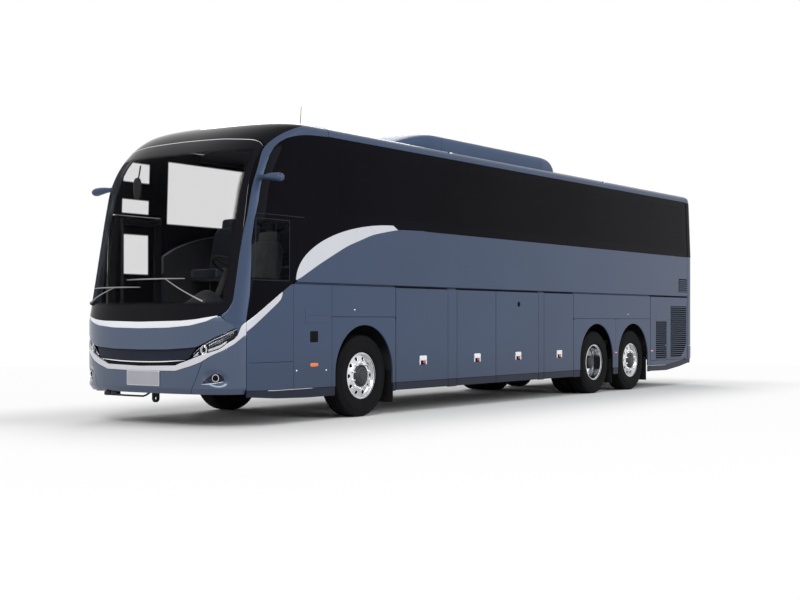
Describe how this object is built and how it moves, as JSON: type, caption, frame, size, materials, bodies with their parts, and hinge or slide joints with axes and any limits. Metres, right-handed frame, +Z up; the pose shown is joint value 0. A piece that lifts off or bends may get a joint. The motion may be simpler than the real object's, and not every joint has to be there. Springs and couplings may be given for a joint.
{
  "type": "three-axle coach bus",
  "caption": "High-deck touring coach on three axles, with a wrap-round windscreen, glass band, luggage flaps, a plug door and steered front wheels.",
  "frame": {"origin": "on the road, under the middle of the body", "axes": "+Y towards the tail, the nose points to -Y; +X to the driver side (the bus left); +Z up"},
  "size_m": [3.265, 13.2, 4.1047],
  "materials": {
    "iron": "satin",
    "trim": "matt",
    "paint": "gloss metallic",
    "glass": "tinted",
    "lamp": "clear",
    "lamp_red": "gloss",
    "black": "gloss",
    "rubber": "matt",
    "tyre": "matt",
    "alloy": "polished",
    "cloth": "woven"
  },
  "bodies": {
    "body": {"chassis_frame": "iron", "cabin_floor": "trim", "luggage_hold": "trim", "skirt_panels": "paint", "side_walls": "paint", "side_windows": "glass", "roof": "paint", "ac_unit": "paint", "front_bumper": "paint", "front_grille": "black", "front_mask": "paint", "windscreen": "glass", "front_pillars": "paint", "front_dome": "black", "headlights": "lamp", "wipers": "rubber", "camera_mirrors": "paint", "rear_wall": "paint", "rear_window": "glass", "rear_bumper": "paint", "tail_lamps": "lamp_red", "mudflaps": "rubber", "dashboard": "trim", "driver_seat": "cloth", "passenger_seats": "cloth", "entry_steps": "trim", "engine_block": "iron", "front_axle": "iron", "drive_axle": "iron", "tag_axle": "iron"},
    "luggage_flap_left_1": {"luggage_flap_left_1": "paint"},
    "luggage_flap_left_2": {"luggage_flap_left_2": "paint"},
    "luggage_flap_left_3": {"luggage_flap_left_3": "paint"},
    "luggage_flap_left_4": {"luggage_flap_left_4": "paint"},
    "luggage_flap_right_1": {"luggage_flap_right_1": "paint"},
    "luggage_flap_right_2": {"luggage_flap_right_2": "paint"},
    "luggage_flap_right_3": {"luggage_flap_right_3": "paint"},
    "radiator_door": {"radiator_door": "paint"},
    "engine_lid": {"engine_lid": "paint"},
    "door_arm": {"door_arm": "iron"},
    "passenger_door": {"passenger_door": "paint", "door_window": "glass"},
    "knuckle_left": {"knuckle_left": "iron"},
    "knuckle_right": {"knuckle_right": "iron"},
    "tie_rod": {"tie_rod": "iron"},
    "steering_wheel": {"steering_wheel": "rubber"},
    "wheel_front_left": {"tyre_front_left": "tyre", "rim_front_left": "alloy"},
    "wheels_drive_left": {"tyres_drive_left": "tyre", "rims_drive_left": "alloy"},
    "wheel_tag_left": {"tyre_tag_left": "tyre", "rim_tag_left": "alloy"},
    "wheel_front_right": {"tyre_front_right": "tyre", "rim_front_right": "alloy"},
    "wheels_drive_right": {"tyres_drive_right": "tyre", "rims_drive_right": "alloy"},
    "wheel_tag_right": {"tyre_tag_right": "tyre", "rim_tag_right": "alloy"}
  },
  "joints": [
    {"name": "flap_left_1", "type": "hinge", "parent": "body", "child": "luggage_flap_left_1", "pos_m": [1.262, -2.655, 1.667], "axis": [0, -1, 0], "range_deg": [0, 90]},
    {"name": "flap_left_2", "type": "hinge", "parent": "body", "child": "luggage_flap_left_2", "pos_m": [1.262, -1.28, 1.667], "axis": [0, -1, 0], "range_deg": [0, 90]},
    {"name": "flap_left_3", "type": "hinge", "parent": "body", "child": "luggage_flap_left_3", "pos_m": [1.262, -0.12, 1.667], "axis": [0, -1, 0], "range_deg": [0, 90]},
    {"name": "flap_left_4", "type": "hinge", "parent": "body", "child": "luggage_flap_left_4", "pos_m": [1.262, 1.1725, 1.667], "axis": [0, -1, 0], "range_deg": [0, 90]},
    {"name": "flap_right_1", "type": "hinge", "parent": "body", "child": "luggage_flap_right_1", "pos_m": [-1.262, -2.655, 1.667], "axis": [0, 1, 0], "range_deg": [0, 90]},
    {"name": "flap_right_2", "type": "hinge", "parent": "body", "child": "luggage_flap_right_2", "pos_m": [-1.262, -0.645, 1.667], "axis": [0, 1, 0], "range_deg": [0, 90]},
    {"name": "flap_right_3", "type": "hinge", "parent": "body", "child": "luggage_flap_right_3", "pos_m": [-1.262, 1.1725, 1.667], "axis": [0, 1, 0], "range_deg": [0, 90]},
    {"name": "radiator_door_hinge", "type": "hinge", "parent": "body", "child": "radiator_door", "pos_m": [1.262, 5.45, 1.667], "axis": [0, -1, 0], "range_deg": [0, 90]},
    {"name": "engine_lid_hinge", "type": "hinge", "parent": "body", "child": "engine_lid", "pos_m": [0, 6.587, 1.655], "axis": [1, 0, 0], "range_deg": [0, 75]},
    {"name": "door_swing", "type": "hinge", "parent": "body", "child": "door_arm", "pos_m": [-1.12, -5.845, 1.45], "axis": [0, 0, 1], "range_deg": [0, 90]},
    {"name": "door_guide", "type": "hinge", "parent": "door_arm", "child": "passenger_door", "pos_m": [-1.12, -5.205, 1.45], "axis": [0, 0, 1], "range_deg": [-90, 0]},
    {"name": "steer_left", "type": "hinge", "parent": "body", "child": "knuckle_left", "pos_m": [0.86, -3.95, 0.522], "axis": [0, 0, 1], "range_deg": [-40, 40]},
    {"name": "steer_right", "type": "hinge", "parent": "body", "child": "knuckle_right", "pos_m": [-0.86, -3.95, 0.522], "axis": [0, 0, 1], "range_deg": [-40, 40]},
    {"name": "tie_rod_end", "type": "hinge", "parent": "knuckle_left", "child": "tie_rod", "pos_m": [0.86, -3.76, 0.4], "axis": [0, 0, 1], "range_deg": [-40, 40]},
    {"name": "steering_column", "type": "hinge", "parent": "body", "child": "steering_wheel", "pos_m": [0.675, -5.8, 1.87], "axis": [0, 0.5, 0.866], "range_deg": [-600, 600]},
    {"name": "spin_front_left", "type": "hinge", "parent": "knuckle_left", "child": "wheel_front_left", "pos_m": [1.09, -3.95, 0.522], "axis": [1, 0, 0], "continuous": true},
    {"name": "spin_drive_left", "type": "hinge", "parent": "body", "child": "wheels_drive_left", "pos_m": [0.925, 2.5, 0.522], "axis": [1, 0, 0], "continuous": true},
    {"name": "spin_tag_left", "type": "hinge", "parent": "body", "child": "wheel_tag_left", "pos_m": [1.09, 3.9, 0.522], "axis": [1, 0, 0], "continuous": true},
    {"name": "spin_front_right", "type": "hinge", "parent": "knuckle_right", "child": "wheel_front_right", "pos_m": [-1.09, -3.95, 0.522], "axis": [1, 0, 0], "continuous": true},
    {"name": "spin_drive_right", "type": "hinge", "parent": "body", "child": "wheels_drive_right", "pos_m": [-0.925, 2.5, 0.522], "axis": [1, 0, 0], "continuous": true},
    {"name": "spin_tag_right", "type": "hinge", "parent": "body", "child": "wheel_tag_right", "pos_m": [-1.09, 3.9, 0.522], "axis": [1, 0, 0], "continuous": true}
  ],
  "couplings": [
    {"joint": "door_guide", "follows": "door_swing", "ratio": -1},
    {"joint": "steer_right", "follows": "steer_left", "ratio": 1},
    {"joint": "tie_rod_end", "follows": "steer_left", "ratio": -1},
    {"joint": "steering_column", "follows": "steer_left", "ratio": 15}
  ]
}
